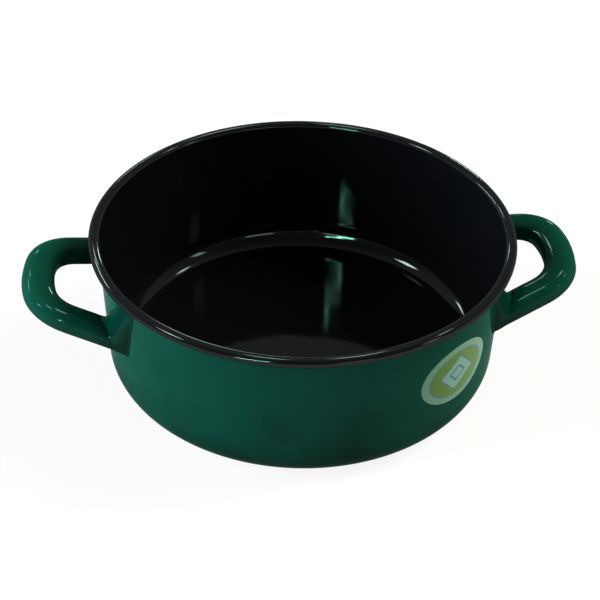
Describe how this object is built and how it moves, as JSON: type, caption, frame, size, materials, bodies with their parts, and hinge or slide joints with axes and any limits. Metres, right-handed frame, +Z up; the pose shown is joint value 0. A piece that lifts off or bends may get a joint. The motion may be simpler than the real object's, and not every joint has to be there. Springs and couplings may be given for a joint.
{
  "type": "low stockpot",
  "caption": "Low round enamelled steel stockpot with a rolled rim, green outside and black inside, hollow loop handles welded on opposite sides and a plain oval label on the wall.",
  "frame": {"origin": "centre of the base, on the plane that the pot stands on", "axes": "+X from the centre to the middle of one handle, +Z up along the pot's axis"},
  "size_m": [0.336, 0.2538, 0.093],
  "materials": {
    "black_enamel": "glossy black ground-coat enamel on drawn steel sheet",
    "green_cover_enamel": "glossy deep bottle-green cover enamel, fired over the ground coat",
    "green_enamel": "glossy deep bottle-green enamel on pressed steel sheet",
    "weld_steel": "fused steel of a spot weld, hidden under the foot plate",
    "label_film": "satin printed film in pale silver green and olive"
  },
  "bodies": {
    "root": {"vessel_pressing": "black_enamel", "green_cover_coat": "green_cover_enamel", "right_handle_top_shell": "green_enamel", "right_handle_underplate": "green_enamel", "right_foot_a_weld_1": "weld_steel", "right_foot_a_weld_2": "weld_steel", "right_foot_b_weld_1": "weld_steel", "right_foot_b_weld_2": "weld_steel", "left_handle_top_shell": "green_enamel", "left_handle_underplate": "green_enamel", "left_foot_a_weld_1": "weld_steel", "left_foot_a_weld_2": "weld_steel", "left_foot_b_weld_1": "weld_steel", "left_foot_b_weld_2": "weld_steel", "oval_label": "label_film"}
  },
  "joints": []
}
